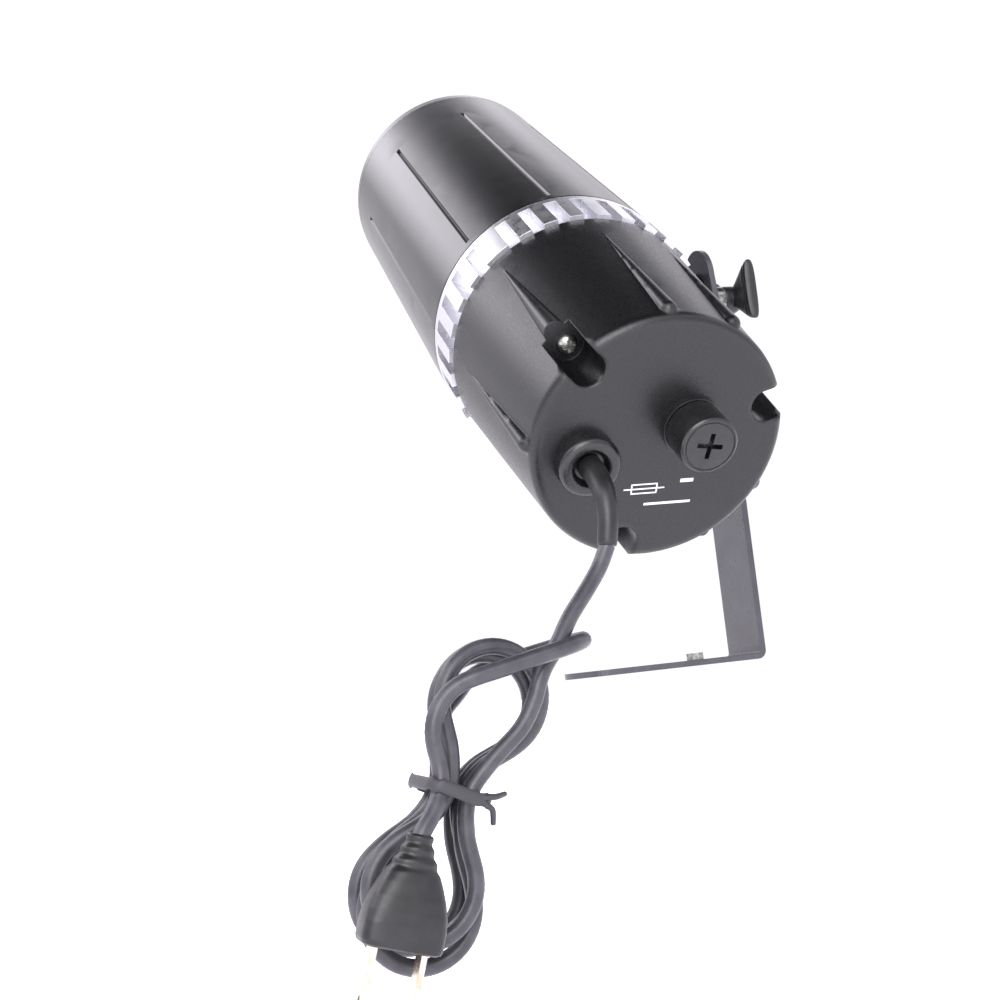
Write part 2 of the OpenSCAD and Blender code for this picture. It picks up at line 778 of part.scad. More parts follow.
module plug() {
    color([0.05, 0.05, 0.05]) in_plug() difference() {
        hull() {
            for (x = [-1, 1]) translate([x * (plug_w / 2 - 4), 0, 0])
                scale([1, plug_t / 8 , 1]) cylinder(r = 4, h = 9, $fn = 32);
            translate([0, 0, plug_len - 2]) cylinder(r = 3.4, h = 2, $fn = 32);
        }
        for (x = [-1, 1])
            translate([x * blade_pitch / 2 - blade_t / 2 - 0.02, -blade_w / 2 - 0.02, -1])
                cube([blade_t + 0.04, blade_w + 0.04, 7]);
    }
}

module plug_blades() {
    color("silver") in_plug() for (x = [-1, 1]) difference() {
        translate([x * blade_pitch / 2 - blade_t / 2, -blade_w / 2, -blade_len])
            cube([blade_t, blade_w, blade_len + 5]);
        translate([x * blade_pitch / 2 - 2, 0, -blade_len + 3.2]) rotate([0, 90, 0])
            cylinder(r = 1.6, h = 4, $fn = 32);
    }
}

bracket();
stake_nut();
tilt_stud();
tilt_knob();
knob_washer();
friction_washer();
pivot_boss();
rear_housing();
housing_seal();
housing_screws();
heat_sink();
shell_seal();
front_shell();
front_bezel();
glass_seal();
front_glass();
led_board();
led_emitter();
lens_holder();
collimator_lens();
optics_posts();
motor_plate();
disc_motor();
motor_screws();
motor_shaft();
pattern_disc();
lens_barrel();
projection_lens();
driver_posts();
driver_board();
driver_parts();
board_screws();
fuse_socket();
fuse_nut();
fuse_carrier();
fuse_link();
fuse_cap();
gland();
gland_nut();
supply_lead();
led_leads();
cord_sleeve();
mains_lead();
lead_hank();
hank_tie();
plug_tail();
plug();
plug_blades();
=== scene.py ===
"""Looks of a tilting light projector: finishes for its CAD pieces, and detailed pieces that stand for
the knob, screws, fuse cap, cable gland, mains lead and plug."""

import json
import math

import bmesh
import bpy
from mathutils import Matrix, Vector


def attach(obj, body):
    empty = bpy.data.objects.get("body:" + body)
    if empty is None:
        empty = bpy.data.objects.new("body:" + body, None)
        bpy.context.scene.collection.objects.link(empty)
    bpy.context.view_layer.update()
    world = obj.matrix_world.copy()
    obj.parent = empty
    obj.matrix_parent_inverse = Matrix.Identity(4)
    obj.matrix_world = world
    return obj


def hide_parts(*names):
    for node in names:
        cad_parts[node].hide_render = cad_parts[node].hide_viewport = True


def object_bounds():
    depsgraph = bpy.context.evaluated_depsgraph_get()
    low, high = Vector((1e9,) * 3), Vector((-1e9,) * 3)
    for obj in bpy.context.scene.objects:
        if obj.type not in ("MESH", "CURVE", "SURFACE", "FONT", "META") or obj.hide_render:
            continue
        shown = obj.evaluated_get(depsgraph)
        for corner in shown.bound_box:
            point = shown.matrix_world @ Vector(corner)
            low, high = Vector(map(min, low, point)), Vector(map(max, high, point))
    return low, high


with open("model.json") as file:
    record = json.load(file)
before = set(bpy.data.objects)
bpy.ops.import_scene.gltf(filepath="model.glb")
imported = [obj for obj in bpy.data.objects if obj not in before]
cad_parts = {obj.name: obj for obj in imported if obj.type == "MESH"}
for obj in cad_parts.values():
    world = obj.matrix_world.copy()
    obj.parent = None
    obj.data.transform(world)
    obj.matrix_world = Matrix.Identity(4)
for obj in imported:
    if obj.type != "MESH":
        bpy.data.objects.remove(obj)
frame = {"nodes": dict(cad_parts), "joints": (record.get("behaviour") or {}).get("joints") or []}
CAD_BOX = [list(corner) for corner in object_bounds()]

bl_info = {
    "name": "Light projector",
    "version": (1, 0, 0),
    "blender": (4, 5, 0),
    "location": "View3D > Sidebar > Projector",
    "description": "Builds the pieces, finishes and stage of a tilting light projector",
    "category": "Object",
}

MM = 0.001
# The radius at which a turned profile starts and ends, as good as on its axis
ON_AXIS = 0.0001 * MM

# ---- the lamp's own frame, taken from the joints and the CAD pieces ----

JOINTS = {joint["name"]: joint for joint in frame["joints"]}
PIVOT = Vector(JOINTS["lamp_tilt"]["pos_m"])
TILT_AXIS = Vector(JOINTS["lamp_tilt"]["axis"])
BEAM = Vector(JOINTS["pattern_spin"]["axis"]).normalized()
DOWN = BEAM.cross(TILT_AXIS)


def reach(node, origin, direction):
    """The lowest and highest distance of a CAD node along a direction."""
    distances = [(v.co - origin).dot(direction) for v in frame["nodes"][node].data.vertices]
    return min(distances), max(distances)


REAR_FACE = PIVOT + BEAM * reach("rear_housing", PIVOT, BEAM)[0]
LAMP = Matrix.Translation(REAR_FACE) @ Matrix((TILT_AXIS, DOWN, BEAM)).transposed().to_4x4()


def centre_in_lamp(node):
    """A node's box in the lamp's frame, as its middle and its lowest and highest corners. x points to the
    arm, y down the lamp's back and z along the beam."""
    points = [LAMP.inverted() @ v.co for v in frame["nodes"][node].data.vertices]
    low = Vector([min(p[i] for p in points) for i in range(3)])
    high = Vector([max(p[i] for p in points) for i in range(3)])
    return (low + high) / 2, low, high


# ---- small helpers ----

def linear(hex_colour):
    """An sRGB hex colour as linear RGBA."""
    channels = [int(hex_colour[i:i + 2], 16) / 255 for i in (0, 2, 4)]
    return tuple(c / 12.92 if c <= 0.04045 else ((c + 0.055) / 1.055) ** 2.4 for c in channels) + (1.0,)


def add(tree, kind, inputs=None, **settings):
    """Adds a node, sets its properties, and sets or links its inputs by name or place."""
    made = tree.nodes.new(kind)
    for name, value in settings.items():
        setattr(made, name, value)
    for name, value in (inputs or {}).items():
        if isinstance(value, bpy.types.NodeSocket):
            tree.links.new(value, made.inputs[name])
        else:
            made.inputs[name].default_value = value
    return made


def new_piece(name, mesh, material, body, smooth_angle=35):
    """A finished piece at the origin that rides on a body."""
    piece = bpy.data.objects.new(name, mesh)
    bpy.context.scene.collection.objects.link(piece)
    mesh.materials.clear()
    mesh.materials.append(material)
    mesh.polygons.foreach_set("use_smooth", [True] * len(mesh.polygons))
    mesh.set_sharp_from_angle(angle=math.radians(smooth_angle))
    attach(piece, body)
    return piece


def mesh_from(build, place=None):
    """Runs a function that fills a bmesh, places the result and returns it as a mesh."""
    work = bmesh.new()
    build(work)
    bmesh.ops.remove_doubles(work, verts=work.verts, dist=1e-7)
    bmesh.ops.recalc_face_normals(work, faces=work.faces)
    mesh = bpy.data.meshes.new("piece")
    work.to_mesh(mesh)
    work.free()
    if place is not None:
        mesh.transform(place)
    return mesh


def loft(work, rings, closed=False):
    """Skins rings of points; the ends are closed with fans unless the rings form a loop."""
    made = [[work.verts.new(p) for p in ring] for ring in rings]
    count = len(made[0])
    pairs = list(zip(made, made[1:])) + ([(made[-1], made[0])] if closed else [])
    for low, high in pairs:
        for k in range(count):
            n = (k + 1) % count
            work.faces.new((low[k], low[n], high[n], high[k]))
    if not closed:
        for ring in (made[0], made[-1]):
            middle = work.verts.new(sum((v.co for v in ring), Vector()) / count)
            for k in range(count):
                work.faces.new((ring[k], ring[(k + 1) % count], middle))


def turned(work, profile, sides=96):
    """A closed turned solid about z from (radius, height) pairs that start and end near the axis."""
    rings = [[Vector((r * math.cos(t), r * math.sin(t), z))
              for t in (math.tau * k / sides for k in range(sides))] for r, z in profile]
    loft(work, rings)


def rounded(points, radius, steps=4):
    """A profile with its inner corners rounded to a radius where the sides allow."""
    out = [points[0]]
    for before, corner, after in zip(points, points[1:], points[2:]):
        a, c, b = Vector(before), Vector(corner), Vector(after)
        cut = min(radius, (a - c).length * 0.49, (b - c).length * 0.49)
        start, end = c + (a - c).normalized() * cut, c + (b - c).normalized() * cut
        for k in range(steps + 1):
            t = k / steps
            out.append(tuple(start * (1 - t) ** 2 + c * 2 * t * (1 - t) + end * t ** 2))
    return out + [points[-1]]


def cut_by(mesh, cutters):
    """The mesh with other meshes taken out of it."""
    body = bpy.data.objects.new("cut body", mesh)
    bpy.context.scene.collection.objects.link(body)
    tools = []
    for cutter in cutters:
        tool = bpy.data.objects.new("cutter", cutter)
        bpy.context.scene.collection.objects.link(tool)
        modifier = body.modifiers.new("cut", "BOOLEAN")
        modifier.object = tool
        modifier.operation = "DIFFERENCE"
        modifier.solver = "EXACT"
        tools.append(tool)
    bpy.context.view_layer.update()
    result = bpy.data.meshes.new_from_object(body.evaluated_get(bpy.context.evaluated_depsgraph_get()))
    for extra in [body] + tools:
        bpy.data.objects.remove(extra)
    return result


def box_mesh(low, high, turn=0.0):
    """A box turned about z, as a mesh."""
    def build(work):
        bmesh.ops.create_cube(work, size=1)
        size = Vector(high) - Vector(low)
        middle = (Vector(high) + Vector(low)) / 2
        for v in work.verts:
            v.co = Vector([v.co[i] * size[i] for i in range(3)]) + middle
        bmesh.ops.rotate(work, verts=work.verts, matrix=Matrix.Rotation(turn, 3, "Z"))
    return mesh_from(build)


def smooth_path(points, steps):
    """A smooth curve through points, with a number of steps between each two."""
    out = []
    last = len(points) - 1
    for i in range(last):
        a, b, c, d = (points[max(0, min(last, i + k))] for k in (-1, 0, 1, 2))
        for k in range(steps):
            t = k / steps
            out.append(0.5 * (2 * b + (c - a) * t + (2 * a - 5 * b + 4 * c - d) * t * t
                              + (3 * b - a - 3 * c + d) * t ** 3))
    return out + [points[-1]]


def eased(path, tightest, step, rounds):
    """The path at even steps, with every bend tighter than a radius spread over its neighbours."""
    marks = [0.0]
    for a, b in zip(path, path[1:]):
        marks.append(marks[-1] + (b - a).length)
    count = round(marks[-1] / step)
    even, i = [], 0
    for k in range(count + 1):
        at = marks[-1] * k / count
        while i < len(path) - 2 and marks[i + 1] < at:
            i += 1
        even.append(path[i].lerp(path[i + 1], (at - marks[i]) / (marks[i + 1] - marks[i])))
    for _ in range(rounds):
        moved = list(even)
        for k in range(2, count - 1):
            a, b, c = even[k - 1], even[k], even[k + 1]
            pull = (a + c) / 2 - b
            if pull.length > (a - c).length_squared / (8 * tightest):
                moved[k] = b + pull * 0.5
        even = moved
    return even


def swept(work, path, radii, sides=20):
    """A round tube along a path, with one radius for each of its points."""
    normal = Vector((0, -1, 0.2))
    rings = []
    for i, (point, radius) in enumerate(zip(path, radii)):
        along = (path[min(i + 1, len(path) - 1)] - path[max(i - 1, 0)]).normalized()
        normal = (normal - along * normal.dot(along)).normalized()
        side = along.cross(normal)
        rings.append([point + radius * (math.cos(t) * normal + math.sin(t) * side)
                      for t in (math.tau * k / sides for k in range(sides))])
    loft(work, rings)


# ---- Geometry Nodes ----

def new_tree(name, inputs):
    """A geometry tree with a geometry input, named inputs and a geometry output."""
    tree = bpy.data.node_groups.new(name, "GeometryNodeTree")
    tree.interface.new_socket("Geometry", in_out="INPUT", socket_type="NodeSocketGeometry")
    for label, kind in inputs:
        tree.interface.new_socket(label, in_out="INPUT", socket_type=kind)
    tree.interface.new_socket("Geometry", in_out="OUTPUT", socket_type="NodeSocketGeometry")
    return tree, add(tree, "NodeGroupInput")


def ring_tree():
    """Copies of a shape round a circle, each turned with its place, starting at a phase."""
    tree, given = new_tree("round a circle", [
        ("Count", "NodeSocketInt"), ("Radius", "NodeSocketFloat"), ("Phase", "NodeSocketFloat"),
        ("Material", "NodeSocketMaterial")])
    circle = add(tree, "GeometryNodeMeshCircle", {"Vertices": given.outputs["Count"], "Radius": 1.0})
    index = add(tree, "GeometryNodeInputIndex")
    step = add(tree, "ShaderNodeMath", {0: math.tau, 1: given.outputs["Count"]}, operation="DIVIDE")
    angle = add(tree, "ShaderNodeMath", {0: index.outputs[0], 1: step.outputs[0],
                                         2: given.outputs["Phase"]}, operation="MULTIPLY_ADD")
    cosine = add(tree, "ShaderNodeMath", {0: angle.outputs[0]}, operation="COSINE")
    sine = add(tree, "ShaderNodeMath", {0: angle.outputs[0]}, operation="SINE")
    direction = add(tree, "ShaderNodeCombineXYZ", {"X": cosine.outputs[0], "Y": sine.outputs[0]})
    place = add(tree, "ShaderNodeVectorMath", {0: direction.outputs[0], "Scale": given.outputs["Radius"]},
                operation="SCALE")
    points = add(tree, "GeometryNodeSetPosition", {"Geometry": circle.outputs[0],
                                                   "Position": place.outputs[0]})
    turn = add(tree, "ShaderNodeCombineXYZ", {"Z": angle.outputs[0]})
    copies = add(tree, "GeometryNodeInstanceOnPoints", {
        "Points": points.outputs[0], "Instance": given.outputs["Geometry"], "Rotation": turn.outputs[0]})
    real = add(tree, "GeometryNodeRealizeInstances", {0: copies.outputs[0]})
    finished = add(tree, "GeometryNodeSetMaterial", {"Geometry": real.outputs[0],
                                                     "Material": given.outputs["Material"]})
    add(tree, "NodeGroupOutput", {0: finished.outputs[0]})
    return tree


def grown(mesh, tree, values):
    """The mesh that a geometry tree makes from another, with the tree's inputs set by name."""
    carrier = bpy.data.objects.new("carrier", mesh)
    bpy.context.scene.collection.objects.link(carrier)
    modifier = carrier.modifiers.new("tree", "NODES")
    modifier.node_group = tree
    for item in tree.interface.items_tree:
        if item.in_out == "INPUT" and item.name in values:
            modifier[item.identifier] = values[item.name]
    bpy.context.view_layer.update()
    evaluated = carrier.evaluated_get(bpy.context.evaluated_depsgraph_get())
    result = bpy.data.meshes.new_from_object(evaluated)
    bpy.data.objects.remove(carrier)
    return result


# ---- finishes ----

def surface(name, colour, roughness, edge=0.0, grain=None, **sockets):
    """A Principled material. edge rounds sharp edges to that radius in the shading. grain is a list of
    (size, height, share): bumps of that size and height, none where the height is 0, and how far the
    roughness follows them."""
    material = bpy.data.materials.get(name) or bpy.data.materials.new(name)
    material.use_nodes = True
    tree = material.node_tree
    tree.nodes.clear()
    shader = add(tree, "ShaderNodeBsdfPrincipled", {"Base Color": linear(colour), "Roughness": roughness})
    for socket, value in sockets.items():
        shader.inputs[socket.replace("_", " ")].default_value = value
    add(tree, "ShaderNodeOutputMaterial", {"Surface": shader.outputs[0]})
    place = add(tree, "ShaderNodeTexCoord").outputs["Object"]
    normal = None
    if edge:
        normal = add(tree, "ShaderNodeBevel", {"Radius": edge}, samples=8).outputs[0]
    for size, height, share in grain or []:
        bumps = add(tree, "ShaderNodeTexNoise", {"Vector": place, "Scale": 1 / size, "Detail": 2.0})
        inputs = {"Height": bumps.outputs[0], "Distance": height, "Strength": 1.0}
        if normal is not None:
            inputs["Normal"] = normal
        if height:
            normal = add(tree, "ShaderNodeBump", inputs).outputs[0]
        if share:
            rough = add(tree, "ShaderNodeMapRange", {
                "Value": bumps.outputs[0], "From Min": 0.3, "From Max": 0.7,
                "To Min": roughness - share, "To Max": roughness + share})
            tree.links.new(rough.outputs[0], shader.inputs["Roughness"])
    if normal is not None:
        tree.links.new(normal, shader.inputs["Normal"])
    return material, tree, shader, place


def mottled(tree, shader, place, size, light, dark, low=0.35, high=0.65):
    """Lets the base colour drift between two colours in patches of a size."""
    patches = add(tree, "ShaderNodeTexNoise", {"Vector": place, "Scale": 1 / size, "Detail": 4.0})
    blend = add(tree, "ShaderNodeMapRange", {
        "Value": patches.outputs[0], "From Min": low, "From Max": high})
    mix = add(tree, "ShaderNodeMix", {"Factor": blend.outputs[0]}, data_type="RGBA")
    mix.inputs[6].default_value = linear(dark)
    mix.inputs[7].default_value = linear(light)
    tree.links.new(mix.outputs[2], shader.inputs["Base Color"])


def lamp_coordinates(tree, place):
    """Object coordinates turned into the lamp's own frame, so that a pattern can follow its axis."""
    turned_back = LAMP.inverted()
    return add(tree, "ShaderNodeMapping", {
        "Vector": place, "Location": turned_back.to_translation(),
        "Rotation": turned_back.to_euler()}).outputs[0]


def gloss_abs():
    """ABS from a polished mould: deep black, with soft-edged reflections and faint flow marks."""
    material, tree, shader, place = surface(
        "polished ABS moulding", "08080b", 0.2, edge=0.35 * MM,
        grain=[(0.45 * MM, 0.003 * MM, 0.03), (9 * MM, 0.03 * MM, 0)], IOR=1.56)
    mottled(tree, shader, place, 6 * MM, "0b0b0f", "060608")
    return material


def spark_abs():
    """ABS from a spark-eroded mould: satin black with a fine grain that glints where light rakes it. The
    rim of the rear face is shaded with a broader round than the ribs."""
    material, tree, shader, place = surface(
        "spark-eroded ABS moulding", "0e0e11", 0.32, edge=0.5 * MM,
        grain=[(0.6 * MM, 0.035 * MM, 0.06)], IOR=1.56)
    split = add(tree, "ShaderNodeSeparateXYZ", {0: lamp_coordinates(tree, place)})
    rim = add(tree, "ShaderNodeMapRange", {
        "Value": split.outputs["Z"], "From Min": 4 * MM, "From Max": 6 * MM,
        "To Min": 2.4 * MM, "To Max": 0.5 * MM})
    for node in tree.nodes:
        if node.bl_idname == "ShaderNodeBevel":
            tree.links.new(rim.outputs[0], node.inputs["Radius"])
    mottled(tree, shader, place, 0.7 * MM, "131316", "0b0b0d")
    return material


def turned_aluminium():
    """Aluminium turned on a lathe and milled: bright silver with fine rings left by the tool."""
    material, tree, shader, place = surface("turned aluminium", "e6e6ea", 0.3, edge=0.2 * MM,
                                            grain=[(4 * MM, 0, 0.06)], Metallic=1.0)
    split = add(tree, "ShaderNodeSeparateXYZ", {0: lamp_coordinates(tree, place)})
    rings = add(tree, "ShaderNodeMath", {0: split.outputs["Z"], 1: math.tau / (0.5 * MM)},
                operation="MULTIPLY")
    wave = add(tree, "ShaderNodeMath", {0: rings.outputs[0]}, operation="SINE")
    bump = add(tree, "ShaderNodeBump", {"Height": wave.outputs[0], "Distance": 0.0008 * MM,
                                        "Normal": shader.inputs["Normal"].links[0].from_socket})
    tree.links.new(bump.outputs[0], shader.inputs["Normal"])
    return material


def enamelled_steel():
    """Strip steel under stoved black enamel: smooth and glossy, so it mirrors the pale room at a slant."""
    material, tree, shader, place = surface(
        "enamelled strip steel", "45444b", 0.32, edge=0.3 * MM,
        grain=[(2 * MM, 0, 0.05), (9 * MM, 0.02 * MM, 0)], IOR=1.6)
    mottled(tree, shader, place, 10 * MM, "47464d", "3d3c42")
    return material


def zinc_plate():
    """Steel with bright zinc plating: grey metal with a faint warm and cool mottling."""
    material, tree, shader, place = surface("zinc-plated steel", "b9b9b4", 0.3, edge=0.12 * MM,
                                            grain=[(0.4 * MM, 0.006 * MM, 0.06)], Metallic=1.0)
    mottled(tree, shader, place, 1.5 * MM, "c6c6c2", "8f908a")
    return material


def nickel_plate():
    """Nickel over brass: a warm, slightly worn silver."""
    material, tree, shader, place = surface("nickel-plated brass", "d8cfc2", 0.24, edge=0.2 * MM,
                                            grain=[(0.5 * MM, 0.004 * MM, 0.05)], Metallic=1.0)
    mottled(tree, shader, place, 3 * MM, "dfd8ce", "c9b9a2")
    return material


def nylon():
    """Glass-filled nylon: dark grey with a dull sheen and fine bumps."""
    material, tree, shader, place = surface("glass-filled nylon", "1d1d1f", 0.4, edge=0.3 * MM,
                                            grain=[(0.5 * MM, 0.012 * MM, 0.05)], IOR=1.53)
    mottled(tree, shader, place, 4 * MM, "222224", "18181a")
    return material


def phenolic():
    """Bakelite moulding: black with a smooth, waxy gloss."""
    material, tree, shader, place = surface("phenolic moulding", "151517", 0.3, edge=0.2 * MM,
                                            grain=[(0.6 * MM, 0.008 * MM, 0.04)], IOR=1.6)
    mottled(tree, shader, place, 3 * MM, "1a1a1c", "111113")
    return material


def pvc_jacket():
    """Soft PVC jacket of a lead: dark grey, satin, with faint waviness from the extruder."""
    material, tree, shader, place = surface(
        "soft PVC jacket", "403f45", 0.36,
        grain=[(1.1 * MM, 0.02 * MM, 0.05), (7 * MM, 0.06 * MM, 0)], IOR=1.52)
    mottled(tree, shader, place, 5 * MM, "47464c", "39383d")
    return material


def moulded_pvc():
    """PVC moulded on to the lead: near black, satin, with a fine texture."""
    material, tree, shader, place = surface("moulded PVC", "1b1b1d", 0.38, edge=0.3 * MM,
                                            grain=[(0.6 * MM, 0.012 * MM, 0.05)], IOR=1.52)
    mottled(tree, shader, place, 4 * MM, "202022", "161618")
    return material


def rubber():
    """Nitrile rubber of the seals: black and dull."""
    return surface("nitrile rubber", "141414", 0.6, grain=[(0.7 * MM, 0.01 * MM, 0.06)])[0]


def clear_glass():
    """Toughened glass: clear, with a faint cool tint."""
    return surface("toughened glass", "f2f7f6", 0.02, grain=[(12 * MM, 0.004 * MM, 0)], IOR=1.52,
                   Transmission_Weight=1.0)[0]


def coated_glass():
    """Printed glass disc: dark, with a thin coating that shows colour at a slant."""
    material, tree, shader, place = surface("coated glass disc", "20242c", 0.08,
                                            grain=[(4 * MM, 0.004 * MM, 0)], Metallic=0.4)
    mottled(tree, shader, place, 5 * MM, "3a4670", "5e2c55")
    return material


def circuit_green():
    """Circuit board under green solder mask, with lighter copper tracks."""
    material, tree, shader, place = surface("green solder mask", "0f4a2c", 0.35,
                                            grain=[(1.5 * MM, 0.02 * MM, 0.05)])
    mottled(tree, shader, place, 2.5 * MM, "1c6a3f", "0c3f25", 0.48, 0.52)
    return material


def circuit_white():
    """Aluminium-cored board under white solder mask."""
    material, tree, shader, place = surface("white solder mask", "e9e8e2", 0.45,
                                            grain=[(0.8 * MM, 0.01 * MM, 0.05)])
    mottled(tree, shader, place, 3 * MM, "efeee8", "dddbd2")
    return material


def phosphor_gel():
    """Silicone over the LED's phosphor: yellow and slightly cloudy."""
    return surface("phosphor gel", "e8c53a", 0.25, grain=[(0.8 * MM, 0.01 * MM, 0.05)],
                   Subsurface_Weight=0.2)[0]


def print_ink():
    """White pad-print ink: flat, with a slightly broken edge."""
    return surface("white print ink", "e6e6ea", 0.55, grain=[(0.25 * MM, 0.01 * MM, 0.05)])[0]


def tie_plastic():
    """Paper-cored plastic ribbon of a twist tie: dark grey with a crinkled face."""
    return surface("twist tie ribbon", "37363a", 0.5, grain=[(0.9 * MM, 0.05 * MM, 0.06)])[0]


# Each finish with the CAD nodes that keep their shape and take it
FINISHES = [
    (enamelled_steel, ["bracket", "motor_plate"]),
    (zinc_plate, ["stake_nut", "tilt_stud", "knob_washer", "optics_posts", "disc_motor", "motor_screws",
                  "motor_shaft", "driver_posts", "board_screws"]),
    (rubber, ["friction_washer", "housing_seal", "shell_seal", "glass_seal", "supply_lead", "led_leads"]),
    (gloss_abs, ["front_shell", "front_bezel", "pivot_boss"]),
    (spark_abs, ["rear_housing"]),
    (turned_aluminium, ["heat_sink"]),
    (clear_glass, ["front_glass", "collimator_lens", "projection_lens"]),
    (coated_glass, ["pattern_disc"]),
    (circuit_green, ["driver_board"]),
    (circuit_white, ["led_board"]),
    (phosphor_gel, ["led_emitter"]),
    (phenolic, ["fuse_socket", "fuse_nut", "fuse_carrier", "lens_holder", "lens_barrel", "gland_nut",
                "driver_parts"]),
    (nickel_plate, ["fuse_link", "plug_blades"]),
]


# ---- mains lead ----

# The hank's own frame: x across it, y away from the front, z up towards the lamp
HANK_AT = Vector((-59, -96.6, 13)) * MM
HANK_SLANT = math.radians(24)
HANK = Matrix.Translation(HANK_AT) @ Matrix.Rotation(HANK_SLANT, 4, "Y")
# Route points in mm: the sleeve and the hanging lead in the row frame, the plug's tail in the hank's
SLEEVE_ROUTE = [(-22.7, -84.7, 60.4), (-22.7, -90.3, 56.2), (-22.9, -94.9, 50.5),
                (-23.4, -96.6, 43.5), (-24.6, -96.6, 36)]
LEAD_ROUTE = [(-24.6, -96.6, 36), (-28, -97.2, 30), (-33.5, -99, 23.5), (-39.5, -101.3, 17),
              (-44.5, -103.2, 10), (-50, -104.1, 3)]
TAIL = [(-11.4, -13.4, -17.4), (-14.0, -13.6, -23.8), (-12.4, -13.5, -30.6), (-8.6, -13.3, -36.4),
        (-6.2, -14.0, -42.2), (-6.9, -16.2, -48.4), (-8.5, -17.8, -54.2), (-8.9, -18.0, -57.5)]
# Rows of the hank from front to back, with the middles of the loops above and below the tie, in mm
TURNS = [
    {"row": -7.5, "top": (2.4, -16.4), "bottom": (-2.0, -67.6)},
    {"row": -2.5, "top": (1.8, -17.2), "bottom": (0.5, -73.5)},
    {"row": 2.5, "top": (3.4, -15.6), "bottom": (1.2, -67.0)},
    {"row": 7.5, "top": None, "bottom": (-1.5, -70.5)},
]
# Half the gap between the strands in the tie, and the ends of their straight stretch there, in mm
WAIST_HALF = 2.6
WAIST_TOP, WAIST_LOW = -40.5, -43.5
LOOP_R = 14.8
# The loose turn round the top of the hank: its middle, slant, half length and end radius, in mm
WRAP_AT = Vector((2, 0.3, -7))
WRAP_SLANT = math.radians(35.6)
WRAP_HALF, WRAP_R = 25.6, 14.6
# Bends tighter than EASE_RADIUS are spread along the lead, on points EASE_STEP apart
EASE_RADIUS, EASE_STEP, EASE_ROUNDS = 13.0 * MM, 1.7 * MM, 60


def in_rows(points):
    """Row-frame points in mm as metres."""
    return [Vector(p) * MM for p in points]


def in_hank(points):
    """Points of the hank's own frame in mm, as row-frame metres."""
    return [HANK @ (Vector(p) * MM) for p in points]


def flank(start, end, row_from, row_to):
    """Two points that lead in an S from a loop's side to the waist, or back."""
    out = []
    for t in (0.36, 0.7):
        ease = t * t * (3 - 2 * t)
        out.append((start[0] + (end[0] - start[0]) * ease, row_from + (row_to - row_from) * t,
                    start[1] + (end[1] - start[1]) * t))
    return out


def arc(centre, first, last, row_from, row_to, count=5):
    """Points on a loop of the fold radius, from one angle to another in degrees."""
    out = []
    for k in range(count):
        t = k / (count - 1)
        angle = math.radians(first + (last - first) * t)
        out.append((centre[0] + LOOP_R * math.cos(angle), row_from + (row_to - row_from) * t,
                    centre[1] + LOOP_R * math.sin(angle)))
    return out


def hank_points():
    """The folds of the hank: down on the right, up on the left, then a loose turn and the plug's tail."""
    points = [(12.5, -7.5, -13), (11.2, -7.5, -21), (6.6, -7.5, -30.5)]
    for turn, after in zip(TURNS, TURNS[1:] + [None]):
        row, low = turn["row"], turn["bottom"]
        points += [(WAIST_HALF, row, WAIST_TOP), (WAIST_HALF, row, WAIST_LOW)]
        points += flank((WAIST_HALF, WAIST_LOW), (low[0] + LOOP_R, low[1]), row, row)
        points += arc(low, 0, -180, row, row)
        points += flank((low[0] - LOOP_R, low[1]), (-WAIST_HALF, WAIST_LOW), row, row)
        points += [(-WAIST_HALF, row, WAIST_LOW), (-WAIST_HALF, row, WAIST_TOP)]
        if after:
            top = turn["top"]
            points += flank((-WAIST_HALF, WAIST_TOP), (top[0] - LOOP_R, top[1]), row, row)
            points += arc(top, 180, 0, row, after["row"])
            points += flank((top[0] + LOOP_R, top[1]), (WAIST_HALF, WAIST_TOP),
                            after["row"], after["row"])
    return points + [(-5.2, 9.0, -31), (-6.2, 11.6, -23.5), (-3.0, 13.4, -15)] + wrap_points() + TAIL


def wrap_points():
    """The loose turn: along the back, round the right end and back along the front."""
    straight = WRAP_HALF - WRAP_R
    flat = [(-3 + 6 * k, WRAP_R) for k in range(2)]
    flat += [(straight + WRAP_R * math.sin(t), WRAP_R * math.cos(t))
             for t in (math.radians(180 * k / 6) for k in range(7))]
    flat += [(straight * (1 - 2 * (k + 1) / 3), -WRAP_R) for k in range(3)]
    turn = Matrix.Rotation(-WRAP_SLANT, 3, "Y")
    return [tuple(WRAP_AT + turn @ Vector((x, y, 0))) for x, y in flat]


class LeadSettings(bpy.types.PropertyGroup):
    """Sizes of the mains lead and its sleeve, and the smoothness of its round section."""
    diameter: bpy.props.FloatProperty(name="Diameter", description="Diameter of the lead",
                                      default=4.6 * MM, min=0.003, max=0.01, unit="LENGTH")
    sleeve_radius: bpy.props.FloatProperty(
        name="Sleeve radius", description="Radius of the sleeve at the gland",
        default=3.7 * MM, min=0.002, max=0.008, unit="LENGTH")
    sides: bpy.props.IntProperty(name="Smoothness", description="Sides of the lead's round section",
                                 default=4, min=2, max=12)


